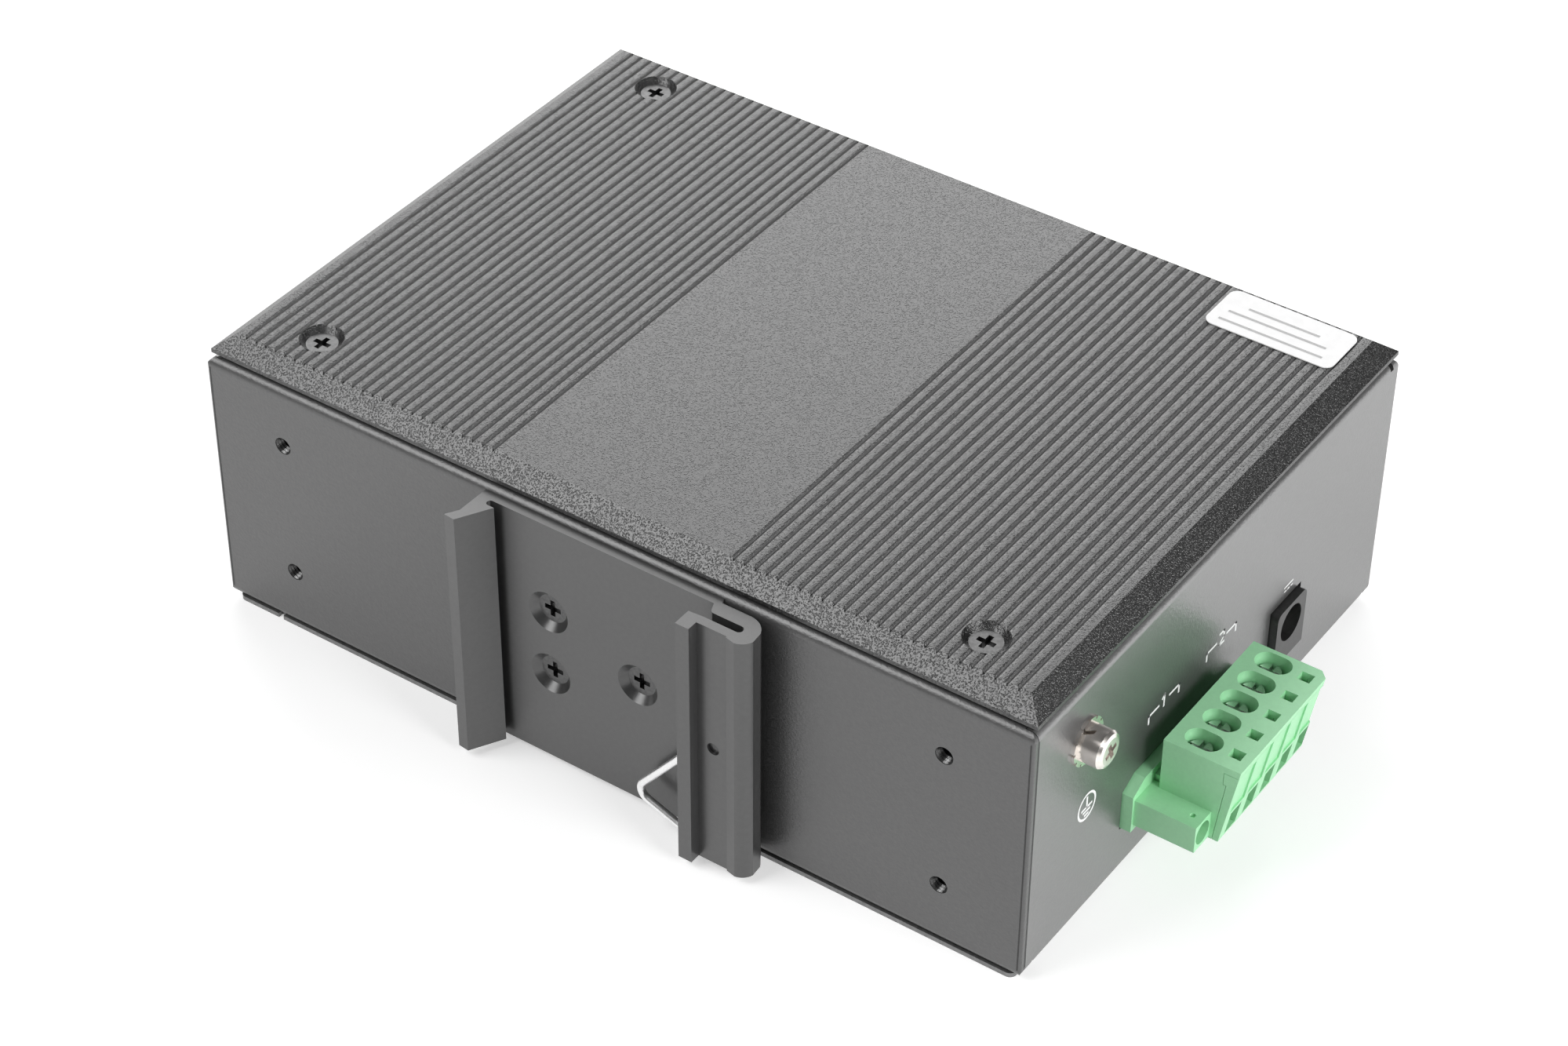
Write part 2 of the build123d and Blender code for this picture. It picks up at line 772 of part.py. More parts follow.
for y in poles:
    plug -= Pos(well_x, y, clamp_high) * extrude(SlotOverall(well_length, well_width),
                                                 amount=plug_high + margin - clamp_high)
    plug -= block(pocket_back, pocket_front, y - pocket_half, y + pocket_half, clamp_low,
                  clamp_high + clamp_clearance)
    plug -= block(pocket_front - margin, plug_front + margin, y - entry_width / 2, y + entry_width / 2,
                  entry_low, entry_high)
    plug -= block(test_x - test_length / 2, test_x + test_length / 2, y - test_width / 2,
                  y + test_width / 2,
                  plug_high - test_depth, plug_high + margin)
    socket = post / 2 + socket_clearance
    plug -= block(nose_end - margin, post_front + margin, y - socket, y + socket, post_level - socket,
                  post_level + socket)
    clamp = block(clamp_x - clamp_length / 2, clamp_x + clamp_length / 2, y - clamp_width / 2,
                  y + clamp_width / 2,
                  clamp_low, clamp_high)
    clamp -= block(clamp_x - clamp_length, clamp_x + clamp_length, y - clamp_width / 2 + clamp_wall,
                   y + clamp_width / 2 - clamp_wall, clamp_low + clamp_wall, clamp_high - clamp_roof)
    clamp -= rod_z(clamp_low + margin, clamp_high + margin, clamp_x, y,
                   (clamp_screw_shank + shank_clearance) / 2)
    clamps.append(clamp)
    screw = rod_z(clamp_screw_tip, clamp_high, clamp_x, y, clamp_screw_shank / 2)
    screw += rod_z(clamp_high, clamp_screw_high, clamp_x, y, clamp_screw_head / 2)
    screw -= Pos(clamp_x, y, clamp_screw_high) * cross_recess(clamp_screw_head + margin, slot_width,
                                                              slot_depth)
    clamp_screws.append(screw)


def front_x(level):
    """The leaning outer face of the plug at a level."""
    return foot_x + lean * (level - plug_low)


for y in poles:
    half_pad = (pole_pitch - pad_rib) / 2
    plug -= along_y([(front_x(pad_low) - pad_depth, pad_low), (front_x(pad_low) + margin, pad_low),
                     (front_x(pad_high) + margin, pad_high), (front_x(pad_high) - pad_depth, pad_high)],
                    y - half_pad, y + half_pad)


def face_region(gap):
    """The space of the plug's outer face piece, with its stepped seam."""
    top = plug_high - face_drop
    step = top - face_step
    return along_y([(plug_front - face_upper - gap, top + gap), (plug_front - face_upper - gap, step - gap),
                    (plug_front - face_middle - gap, step - gap),
                    (plug_front - face_lower - gap, plug_low - margin),
                    (plug_front + margin, plug_low - margin), (plug_front + margin, top + gap)],
                   plug_near - margin, plug_far + margin)


face = plug & face_region(0)
face -= block(header_front, block_front + margin, block_near - margin, plug_near, block_low - margin,
              block_high + margin)
body = plug - face_region(face_gap)
body += plug & block(header_front, block_front + margin, block_near - margin, plug_near, block_low - margin,
                     block_high + margin)
nodes["terminal_plug"] = body
nodes["plug_face"] = face
nodes["plug_clamps"] = Compound(children=clamps)
nodes["clamp_screws"] = Compound(children=clamp_screws)
flange = rod_x(flange_tip_x, block_shoulder_x, block_axis_y, block_axis_level, flange_shank / 2)
flange += rod_x(block_shoulder_x, block_shoulder_x + flange_head_length, block_axis_y, block_axis_level,
                flange_head / 2)
head_x = block_shoulder_x + flange_head_length
flange -= block(head_x - slot_depth, head_x + margin, block_axis_y - slot_width / 2,
                block_axis_y + slot_width / 2,
                block_axis_level - flange_head, block_axis_level + flange_head)
nodes["flange_screw"] = flange

# power jack
jack_front = end_face + jack_reach
jack_back = jack_front - jack_length
jack = block(jack_back, jack_front, jack_near, jack_far, board_top, jack_high)
jack = fillet(jack.edges().filter_by(Axis.X).sort_by(Axis.Z)[-2:], jack_round)
bore_end = jack_front - jack_bore_depth
jack -= rod_x(bore_end, jack_front + margin, jack_y, jack_axis_level, jack_bore / 2)
nodes["power_jack"] = jack
pin = rod_x(bore_end, jack_front - jack_pin_recess, jack_y, jack_axis_level, jack_pin_radius)
nodes["jack_pin"] = chamfer(pin.edges().sort_by(Axis.X)[-1], jack_pin_edge)

# ground screw with its washers and nut
toothed = Circle(toothed_diameter / 2) - Circle(ground_bore / 2)
for index in range(toothed_count):
    angle = 360 * index / toothed_count
    toothed -= Rot(0, 0, angle) * Pos(toothed_diameter / 2, 0) * Rectangle(2 * tooth_depth, tooth_depth)
toothed = extrude(toothed, amount=toothed_thick)
lock = Cylinder(lock_diameter / 2, lock_thick) - Cylinder(ground_bore / 2, lock_thick + margin)
slit = Pos(lock_diameter / 2, 0, 0) * Rot(lock_tilt, 0, 0) * Box(lock_diameter, lock_slit, 3 * lock_thick)
lock -= Rot(0, 0, lock_turn) * slit
lock = Pos(0, 0, toothed_thick + lock_thick / 2) * lock
stack = toothed_thick + lock_thick
ground_seat = Pos(end_face, ground_y, ground_level) * Rot(0, 90, 0)
nodes["toothed_washer"] = ground_seat * toothed
nodes["lock_washer"] = ground_seat * lock
ground = round_screw(ground_head, ground_head_high, ground_shank, ground_length)
ground -= Pos(0, 0, ground_head_high) * cross_recess(recess_arm, recess_width, recess_depth)
nodes["ground_screw"] = ground_seat * Pos(0, 0, stack) * Rot(0, 0, ground_turn) * ground
hexagon = RegularPolygon(nut_flats / 2, 6,
                         major_radius=False) - Circle(ground_shank / 2 + shank_clearance / 2)
nodes["ground_nut"] = ground_seat * Pos(0, 0, -sheet - nut_thick) * extrude(hexagon, amount=nut_thick)

# circuit board and what holds it
board_back = back_inner + board_back_gap
board_front = face_inner - board_front_gap
plan = RectangleRounded(2 * (end_inner - board_end_gap), board_front - board_back, board_corner)
board = Pos(0, (board_front + board_back) / 2, board_low) * extrude(plan, amount=board_thick)
for x, y in pillar_places:
    board -= rod_z(board_low - margin, board_top + margin, x, y, pillar_radius + pillar_clearance)
standoff_left = standoff_left_inset - half_length
standoff_back = back_face + standoff_back_inset
standoff_places = [(standoff_left, y) for y in standoff_left_levels]
standoff_places += [(x, standoff_back) for x in (-standoff_middle_x, standoff_middle_x)]
standoff_places.append((end_face - standoff_right_inset, standoff_right_y))
hexagon = RegularPolygon(standoff_flats / 2, 6, major_radius=False) - Circle(standoff_bore / 2)
standoffs = []
board_screws = []
for x, y in standoff_places:
    board -= rod_z(board_low - margin, board_top + margin, x, y, board_hole / 2)
    standoffs.append(Pos(x, y, base_sheet) * extrude(hexagon, amount=board_low - base_sheet))
    board_screws.append(Pos(x, y, board_top) * round_screw(board_screw_head, board_screw_high, screw_shank,
                                                           board_screw_length))
nodes["circuit_board"] = board
nodes["board_standoffs"] = Compound(children=standoffs)
nodes["board_screws"] = Compound(children=board_screws)

# stacked port block with its shield and contacts
ports = block(ports_left, ports_right, port_block_back, port_face, board_top, ports_top)
contacts = []
column_places = [port_centre + port_pitch * (index - (port_columns - 1) / 2)
                 for index in range(port_columns)]
for x in column_places:
    for row, latch in ((port_row_low, -1), (port_row_high, 1)):
        level = board_top + row
        floor = level - latch * port_height / 2
        roof = level + latch * port_height / 2
        ports -= block(x - port_width / 2, x + port_width / 2, port_face - port_depth, port_face + margin,
                       min(floor, roof), max(floor, roof))
        notch = roof + latch * latch_height
        ports -= block(x - latch_width / 2, x + latch_width / 2, port_face - port_depth, port_face + margin,
                       min(level, notch), max(level, notch))
        for index in range(contact_count):
            spot = x + contact_pitch * (index - (contact_count - 1) / 2)
            raised = floor + latch * contact_thick
            contacts.append(block(spot - contact_width / 2, spot + contact_width / 2,
                                  port_face - contact_start - contact_length, port_face - contact_start,
                                  min(floor, raised), max(floor, raised)))
nodes["port_block"] = ports
nodes["port_contacts"] = Compound(children=contacts)
skin = block(ports_left - shield, ports_right + shield, port_block_back - shield, port_face, board_top,
             ports_top + shield)
skin -= block(ports_left, ports_right, port_block_back, port_face + margin, board_top - margin, ports_top)
nodes["port_shield"] = skin

# optical module cages side by side
connectors = []
cages = []
for place in cage_places:
    left = place - cage_width / 2
    right = place + cage_width / 2
    rear = port_face - cage_length
    cage = block(left, right, rear, port_face, board_top, board_top + cage_height)
    cage -= block(left + cage_wall, right - cage_wall, rear + cage_wall, port_face + margin,
                  board_top + cage_wall, board_top + cage_height - cage_wall)
    cages.append(cage)
    connector = block(place - connector_width / 2, place + connector_width / 2, rear + cage_wall,
                      rear + cage_wall + connector_length, board_top + cage_wall,
                      board_top + cage_wall + connector_height)
    connector -= block(place - connector_width / 2 + margin, place + connector_width / 2 - margin,
                       rear + cage_wall + connector_length / 2,
                       rear + cage_wall + connector_length + margin,
                       board_top + cage_wall + connector_height * 0.4,
                       board_top + cage_wall + connector_height * 0.65)
    connectors.append(connector)
nodes["optical_cage_left"] = cages[0]
nodes["optical_cage_right"] = cages[1]
nodes["cage_connectors"] = Compound(children=connectors)

# light pipes above the ports
pipe_floor = ports_top + shield
pipe_tip = port_face - pipe_recess
pipe_bar_front = pipe_tip - pipe_reach
pipe_bar_back = pipe_bar_front - pipe_bar_depth
pipes = block(pipe_places[0] - 2 * pipe_radius, pipe_places[-1] + 2 * pipe_radius, pipe_bar_back,
              pipe_bar_front,
              pipe_floor, pipe_floor + pipe_bar_height)
for place in pipe_places:
    pipes += rod_y(pipe_bar_front - margin, pipe_tip, place, pipe_axis, pipe_radius)
nodes["light_pipes"] = pipes

# heat path from the chip to the cover
chip_high = board_top + chip_thick
half_chip = chip_size / 2
chip = block(chip_x - half_chip, chip_x + half_chip, chip_y - half_chip, chip_y + half_chip, board_top,
             chip_high)
nodes["switch_chip"] = chamfer(chip.faces().sort_by(Axis.Z)[-1].edges(), chip_edge)
half_block = block_size / 2
heat_low = chip_high + pad_thick
heat_high = case_top - pad_thick
heat = block(chip_x - half_block, chip_x + half_block, chip_y - half_block, chip_y + half_block, heat_low,
             heat_high)
nodes["heat_block"] = chamfer(heat.edges().filter_by(Axis.Z), block_edge)
pads = []
for low_level in (chip_high, heat_high):
    pads.append(block(chip_x - half_chip, chip_x + half_chip, chip_y - half_chip, chip_y + half_chip,
                      low_level, low_level + pad_thick))
nodes["thermal_pads"] = Compound(children=pads)

# other parts on the board
magnetics = []
magnetic_front = port_block_back - magnetic_gap
for x in column_places:
    item = block(x - magnetic_length / 2, x + magnetic_length / 2, magnetic_front - magnetic_width,
                 magnetic_front,
                 board_top, board_top + magnetic_height)
    magnetics.append(chamfer(item.faces().sort_by(Axis.Z)[-1].edges(), magnetic_edge))
nodes["magnetics"] = Compound(children=magnetics)
inductors = []
for x, inset in inductor_places:
    item = Pos(x, back_face + inset, board_top + inductor_height / 2) * Box(inductor_size, inductor_size,
                                                                            inductor_height)
    inductors.append(chamfer(item.edges().filter_by(Axis.Z), inductor_edge))
nodes["inductors"] = Compound(children=inductors)
capacitors = []
for x, inset in capacitor_places:
    capacitors.append(rod_z(board_top, board_top + capacitor_height, x, back_face + inset,
                            capacitor_radius))
nodes["capacitors"] = Compound(children=capacitors)

for name, shape in nodes.items():
    export_step(shape, "parts/" + name + ".step")
    print(name, round(shape.volume, 1))
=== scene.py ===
import bpy
import math
from mathutils import Matrix, Vector


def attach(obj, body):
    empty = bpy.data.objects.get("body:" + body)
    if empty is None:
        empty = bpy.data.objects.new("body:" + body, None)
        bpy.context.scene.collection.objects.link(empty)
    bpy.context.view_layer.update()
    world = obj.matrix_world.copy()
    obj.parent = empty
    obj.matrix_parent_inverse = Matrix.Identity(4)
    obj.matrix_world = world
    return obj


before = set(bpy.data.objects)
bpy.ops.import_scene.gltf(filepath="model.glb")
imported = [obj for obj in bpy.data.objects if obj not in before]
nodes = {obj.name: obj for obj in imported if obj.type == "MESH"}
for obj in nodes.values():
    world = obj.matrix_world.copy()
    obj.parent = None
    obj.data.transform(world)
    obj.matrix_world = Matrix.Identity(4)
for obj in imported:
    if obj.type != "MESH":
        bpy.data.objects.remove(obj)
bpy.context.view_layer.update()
MM = 0.001

# camera, with its focal length in pixels of a picture of this width
PHOTO_WIDTH = 1999
CAMERA_PLACE = (259.6, -381.8, 392.8)
CAMERA_AZIMUTH = 34.56
CAMERA_ELEVATION = 39.30
CAMERA_ROLL = 0.454
FOCAL_PIXELS = 4818.2
SENSOR = 36.0
CLIP_START = 0.01

# places shared with the CAD, in millimetres
END_FACE = 74.25
BACK_FACE = -52.5
COVER_TOP = 51.2
LABEL_CENTRE = (58.1, 43.9)
LABEL_TOP = 51.35
WALL_HOLES = [(x, z) for x in (-60.0, 60.0) for z in (11.75, 36.75)]

# ribs and screw cones of the cover
RIB_START = 20.6
RIB_END = 70.0
RIB_CENTRE_Y = 0.5
RIB_HALF_LENGTH = 48.9
RIB_PITCH = 1.9
RIB_DEPTH = 0.42
CONE_X = 59.7
CONE_Y = 42.7
CONE_RADIUS = 3.52

# coarse paint of the cover: rounding of the rib crests, size and height of the grains, the painted light
# that pales the shaded rib troughs, and the grey of the bare cones
RIB_ROUNDING = 0.022
GRAIN_SCALE = 3700.0
GRAIN_FLOOR = 0.5
GRAIN_TOP = 0.75
GRAIN_HEIGHT = 0.052
# painted light: the grey the rib troughs are painted towards, far paler than the paint, to lift their shade
TROUGH_PAINTED_LIGHT_GREY = 0.22
CONE_GREY = 0.09

# ridges in the four tapped holes
THREAD_OUTER = 1.49
THREAD_RISE = 0.22
THREAD_PITCH = 0.55
THREAD_DEPTH = 2.0
THREAD_START = 0.15
THREAD_STEPS = 32

# dark hairlines of painted shade beside the rear corners, for the unmodelled seam gap and crease: near and
# far side of each, measured from the corner
SEAM_ON_END = (0.98, 1.3)
SEAM_ON_BACK = (0.45, 0.68)
SEAM_LOW = 2.4
SEAM_HIGH = 46.0

# printed lines and how far they stand off
MARK_LIFT = 0.02
MARK_LINE = 0.42
RING_STEPS = 48

# two groups of terminals on the end wall, each a bracket line with a plain numeral in its gap
GROUP_LEVEL = 27.3
GROUP_FOOT = 25.9
GROUP_GAP = 1.6
ONE = [((0.0, 26.3), (0.0, 28.5)), ((-0.5, 28.0), (0.0, 28.5))]
TWO = [((-0.6, 28.5), (0.6, 28.5)), ((0.6, 28.5), (0.6, 27.5)), ((0.6, 27.4), (-0.6, 26.4)),
       ((-0.6, 26.3), (0.7, 26.3))]
GROUPS = [(-19.8, -11.2, ONE), (-3.1, 5.5, TWO)]

# earth symbol below the ground screw
EARTH_CENTRE = (-36.5, 22.6)
EARTH_RADIUS = 2.3
EARTH_LINES = [((-36.5, 24.2), (-36.5, 22.5)), ((-37.8, 22.4), (-35.2, 22.4)),
               ((-37.3, 21.7), (-35.7, 21.7)), ((-36.9, 21.0), (-36.1, 21.0))]

# direct current symbol below the power jack: a line over three dashes
SUPPLY_LINE = 0.28
SUPPLY_BAR = ((21.0, 23.2), (23.6, 23.2))
SUPPLY_DASHES = [((21.15 + step, 22.4), (21.55 + step, 22.4)) for step in (0, 1, 2)]

# bars on the label, from its centre: start, stop and row
LABEL_LINE = 0.5
LABEL_BARS = [(-9.0, 8.4, -3.0), (-8.6, 7.8, -0.6), (-6.2, 5.6, 1.5)]

# fine noise of the finishes, and the part of it over which two tones blend
NOISE_DETAIL = 3.0
NOISE_ROUGHNESS = 0.6
BLEND_START = 0.35
BLEND_STOP = 0.65
PIPE_CLEARNESS = 0.7

# the world is white near the horizon and dim above it, by the height of the direction
HORIZON_WHITE = 0.02
HORIZON_DIM = 0.1
SKY = 0.12

# floor, with half its side in metres
FLOOR_REACH = 6.0
FLOOR_GREY = 0.75
FLOOR_GLOW = 0.45
FLOOR_ROUGHNESS = 0.9


def grey(value):
    """A neutral colour."""
    return (value, value, value)


def new_material(name):
    """An empty node material and its shader."""
    material = bpy.data.materials.new(name)
    material.use_nodes = True
    shader = material.node_tree.nodes["Principled BSDF"]
    return material, shader


def noise(tree, scale, detail=NOISE_DETAIL):
    """A noise texture in object space."""
    place = tree.nodes.new("ShaderNodeTexCoord")
    texture = tree.nodes.new("ShaderNodeTexNoise")
    texture.inputs["Scale"].default_value = scale
    texture.inputs["Detail"].default_value = detail
    texture.inputs["Roughness"].default_value = NOISE_ROUGHNESS
    tree.links.new(place.outputs["Object"], texture.inputs["Vector"])
    return texture.outputs["Fac"]


def ramp(tree, source, low, high, start, stop):
    """A two-colour ramp over a noise."""
    node = tree.nodes.new("ShaderNodeValToRGB")
    node.color_ramp.elements[0].position = start
    node.color_ramp.elements[1].position = stop
    node.color_ramp.elements[0].color = (*low, 1)
    node.color_ramp.elements[1].color = (*high, 1)
    tree.links.new(source, node.inputs["Fac"])
    return node.outputs["Color"]


def bump_layer(tree, height, distance, strength=1.0, under=None):
    """A relief in metres, laid over another one."""
    relief = tree.nodes.new("ShaderNodeBump")
    relief.inputs["Strength"].default_value = strength
    relief.inputs["Distance"].default_value = distance
    tree.links.new(height, relief.inputs["Height"])
    if under is not None:
        tree.links.new(under, relief.inputs["Normal"])
    return relief.outputs["Normal"]


def finish(name, low, high, metallic=0.0, roughness=0.5, specular=0.5, ior=None, grain=900.0,
           bump=0.1, bump_scale=None, depth=0.0001, start=BLEND_START, stop=BLEND_STOP):
    """A procedural finish with a fine two-tone grain and a matching bump."""
    material, shader = new_material(name)
    tree = material.node_tree
    tree.links.new(ramp(tree, noise(tree, grain), low, high, start, stop), shader.inputs["Base Color"])
    shader.inputs["Metallic"].default_value = metallic
    shader.inputs["Roughness"].default_value = roughness
    shader.inputs["Specular IOR Level"].default_value = specular
    if ior:
        shader.inputs["IOR"].default_value = ior
    if bump:
        relief = bump_layer(tree, noise(tree, bump_scale or grain), depth, bump)
        tree.links.new(relief, shader.inputs["Normal"])
    return material


def math_node(tree, operation, first, second=None):
    """One arithmetic node on a socket and a number or a second socket."""
    node = tree.nodes.new("ShaderNodeMath")
    node.operation = operation
    tree.links.new(first, node.inputs[0])
    if isinstance(second, float):
        node.inputs[1].default_value = second
    elif second is not None:
        tree.links.new(second, node.inputs[1])
    return node.outputs[0]


def map_range(tree, source, low, high, to_low=0.0, to_high=1.0):
    """A straight change from one number to another between two limits."""
    node = tree.nodes.new("ShaderNodeMapRange")
    node.inputs["From Min"].default_value = low
    node.inputs["From Max"].default_value = high
    node.inputs["To Min"].default_value = to_low
    node.inputs["To Max"].default_value = to_high
    tree.links.new(source, node.inputs["Value"])
    return node.outputs["Result"]


def tinted(tree, where, under, value):
    """A colour with a neutral grey laid over it where the factor is one."""
    node = tree.nodes.new("ShaderNodeMix")
    node.data_type = "RGBA"
    tree.links.new(where, node.inputs["Factor"])
    tree.links.new(under, node.inputs["A"])
    node.inputs["B"].default_value = (*grey(value), 1)
    return node.outputs["Result"]


def ribbed_area(tree, across, along, height):
    """One on the ribs, zero on the flat middle, the border and the bevels."""
    inside = math_node(tree, "GREATER_THAN", height, (COVER_TOP - RIB_DEPTH) * MM)
    for limit in (math_node(tree, "GREATER_THAN", across, RIB_START * MM),
                  math_node(tree, "LESS_THAN", across, RIB_END * MM),
                  math_node(tree, "LESS_THAN", along, RIB_HALF_LENGTH * MM)):
        inside = math_node(tree, "MULTIPLY", inside, limit)
    return inside


def cone_area(tree, across, along):
    """One inside the four screw cones."""
    from_side = math_node(tree, "SUBTRACT", across, CONE_X * MM)
    from_end = math_node(tree, "SUBTRACT", along, CONE_Y * MM)
    distance = math_node(tree, "ADD", math_node(tree, "MULTIPLY", from_side, from_side),
                         math_node(tree, "MULTIPLY", from_end, from_end))
    return math_node(tree, "LESS_THAN", distance, (CONE_RADIUS * MM) ** 2)


def coarse_paint(material):
    """Coarse grains over rounded rib crests, painted light in the shaded rib troughs, and bare metal in the
    screw cones.
    """
    tree = material.node_tree
    shader = tree.nodes["Principled BSDF"]
    split = tree.nodes.new("ShaderNodeSeparateXYZ")
    tree.links.new(tree.nodes.new("ShaderNodeTexCoord").outputs["Object"], split.inputs["Vector"])
    height = split.outputs["Z"]
    across = math_node(tree, "ABSOLUTE", split.outputs["X"])
    along = math_node(tree, "ABSOLUTE", math_node(tree, "SUBTRACT", split.outputs["Y"], RIB_CENTRE_Y * MM))
    ribbed = ribbed_area(tree, across, along, height)
    in_cone = cone_area(tree, across, along)

    phase = math_node(tree, "MULTIPLY", math_node(tree, "SUBTRACT", across, RIB_START * MM),
                      2 * math.pi / (RIB_PITCH * MM))
    wave = math_node(tree, "MULTIPLY", math_node(tree, "COSINE", phase), ribbed)
    rounded = bump_layer(tree, wave, RIB_ROUNDING * MM)
    grain = map_range(tree, noise(tree, GRAIN_SCALE, detail=1.0), GRAIN_FLOOR, GRAIN_TOP)
    relief = bump_layer(tree, grain, GRAIN_HEIGHT * MM, under=rounded)
    tree.links.new(relief, shader.inputs["Normal"])

    # painted light: the troughs turn paler the deeper they go, standing in for light that lifts their shade
    below = map_range(tree, height, COVER_TOP * MM, (COVER_TOP - RIB_DEPTH) * MM)
    trough_painted_light = math_node(tree, "MULTIPLY", below, ribbed)
    paint = shader.inputs["Base Color"].links[0].from_socket
    paint = tinted(tree, trough_painted_light, paint, TROUGH_PAINTED_LIGHT_GREY)
    paint = tinted(tree, in_cone, paint, CONE_GREY)
    tree.links.new(paint, shader.inputs["Base Color"])
    tree.links.new(in_cone, shader.inputs["Metallic"])


back_paint = finish("back sheet satin", grey(0.045), grey(0.055), roughness=0.34, grain=1500, bump=0.8,
                    bump_scale=2000, depth=0.00007, specular=1.0, ior=1.55)
# painted sheen: the case wrap takes a slightly lighter copy of the back sheet's paint with a far stronger
# reflection (IOR 2.1 against 1.55), to brighten the end walls
case_paint_with_sheen = finish("case satin", grey(0.05), grey(0.06), roughness=0.32, grain=1500, bump=0.8,
                    bump_scale=2000, depth=0.00007, specular=1.0, ior=2.1)
cover_paint = finish("cover coarse paint", grey(0.006), grey(0.05), roughness=0.34, grain=4200, bump=0,
                     specular=1.0, ior=1.56, start=0.5, stop=0.75)
coarse_paint(cover_paint)
base_zinc = finish("base sheet", grey(0.2), grey(0.26), metallic=0.8, roughness=0.4, grain=1500)
bracket_black = finish("bracket anodised", grey(0.03), grey(0.038), roughness=0.3, grain=1200, bump=0.05,
                       bump_scale=500, depth=0.00004, specular=1.0, ior=1.55)
screw_steel = finish("screw steel", grey(0.50), grey(0.60), metallic=1.0, roughness=0.3, grain=2000)
dark_steel = finish("dark screws", grey(0.09), grey(0.13), metallic=0.9, roughness=0.28, grain=2000, bump=0)
spring_steel = finish("spring steel", grey(0.86), grey(0.92), metallic=1.0, roughness=0.32, grain=1500,
                      bump=0)
nickel = finish("nickel", (0.86, 0.81, 0.76), (0.92, 0.88, 0.84), metallic=1.0, roughness=0.24, bump=0)
label_white = finish("label", grey(0.86), grey(0.9), grain=600, bump=0.05)
label_print = finish("label print", grey(0.42), grey(0.5), roughness=0.6, grain=3000, bump=0)
mark_white = finish("white marks", grey(0.84), grey(0.9), grain=2000, bump=0)
green = finish("terminal green", (0.35, 0.74, 0.42), (0.37, 0.77, 0.44), roughness=0.4, specular=0.7,
               grain=1400, bump=0.08, depth=0.00004)
clamp_steel = finish("clamp steel", grey(0.62), grey(0.72), metallic=1.0, roughness=0.25, grain=2500)
gold = finish("contact gold", (0.72, 0.52, 0.22), (0.82, 0.62, 0.3), metallic=1.0, roughness=0.25,
              grain=2000, bump=0)
jack_black = finish("jack plastic", grey(0.018), grey(0.028), roughness=0.35, grain=1500, bump=0.15,
                    depth=0.00004)
board_green = finish("board", (0.02, 0.11, 0.05), (0.03, 0.15, 0.07), roughness=0.35, grain=500)
port_black = finish("port plastic", grey(0.02), grey(0.035), roughness=0.45, grain=1500)
shield_steel = finish("shield steel", grey(0.55), grey(0.65), metallic=1.0, roughness=0.28, bump=0.05)
part_black = finish("part black", grey(0.02), grey(0.035), grain=1200)
inductor_grey = finish("inductor", grey(0.13), grey(0.18), roughness=0.6, grain=2500)
can_metal = finish("can", grey(0.6), grey(0.7), metallic=1.0, roughness=0.3, grain=800)
heat_metal = finish("milled aluminium", grey(0.55), grey(0.68), metallic=1.0, roughness=0.35, grain=1200)
pad_grey = finish("thermal pad", (0.35, 0.38, 0.45), (0.4, 0.43, 0.5), roughness=0.8, grain=1200)
pipe_clear = finish("light pipe", (0.75, 0.85, 0.75), (0.85, 0.92, 0.85), roughness=0.2, grain=300, bump=0)
pipe_shader = pipe_clear.node_tree.nodes["Principled BSDF"]
pipe_shader.inputs["Transmission Weight"].default_value = PIPE_CLEARNESS

dress = {
    "case_wrap": case_paint_with_sheen,
    "back_sheet": back_paint,
    "base_sheet": base_zinc,
    "ribbed_cover": cover_paint,
    "corner_pillars": heat_metal,
    "cover_screws": dark_steel,
    "base_screws": dark_steel,
    "seal_label": label_white,
    "rail_bracket": bracket_black,
    "bracket_screws": dark_steel,
    "spring_pin": dark_steel,
    "wire_spring": spring_steel,
    "terminal_header": green,
    "header_pins": gold,
    "terminal_plug": green,
    "plug_face": green,
    "plug_clamps": clamp_steel,
    "clamp_screws": clamp_steel,
    "flange_screw": clamp_steel,
    "power_jack": jack_black,
    "jack_pin": nickel,
    "toothed_washer": nickel,
    "lock_washer": nickel,
    "ground_screw": nickel,
    "ground_nut": nickel,
    "circuit_board": board_green,
    "board_standoffs": nickel,
    "board_screws": screw_steel,
    "port_block": port_black,
    "port_shield": shield_steel,
    "port_contacts": gold,
    "optical_cage_left": shield_steel,
    "optical_cage_right": shield_steel,
    "cage_connectors": part_black,
    "light_pipes": pipe_clear,
    "switch_chip": part_black,
    "thermal_pads": pad_grey,
    "heat_block": heat_metal,
    "magnetics": part_black,
    "inductors": inductor_grey,
    "capacitors": can_metal,
}
for name, material in dress.items():
    mesh = nodes[name].data
    mesh.materials.clear()
    mesh.materials.append(material)


def piece(name, points, faces, material):
    """A mesh from millimetre points that rides on the one body."""
    mesh = bpy.data.meshes.new(name)
    mesh.from_pydata([tuple(value * MM for value in point) for point in points], [], faces)
    mesh.update()
    thing = bpy.data.objects.new(name, mesh)
    bpy.context.scene.collection.objects.link(thing)
    mesh.materials.append(material)
    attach(thing, "root")


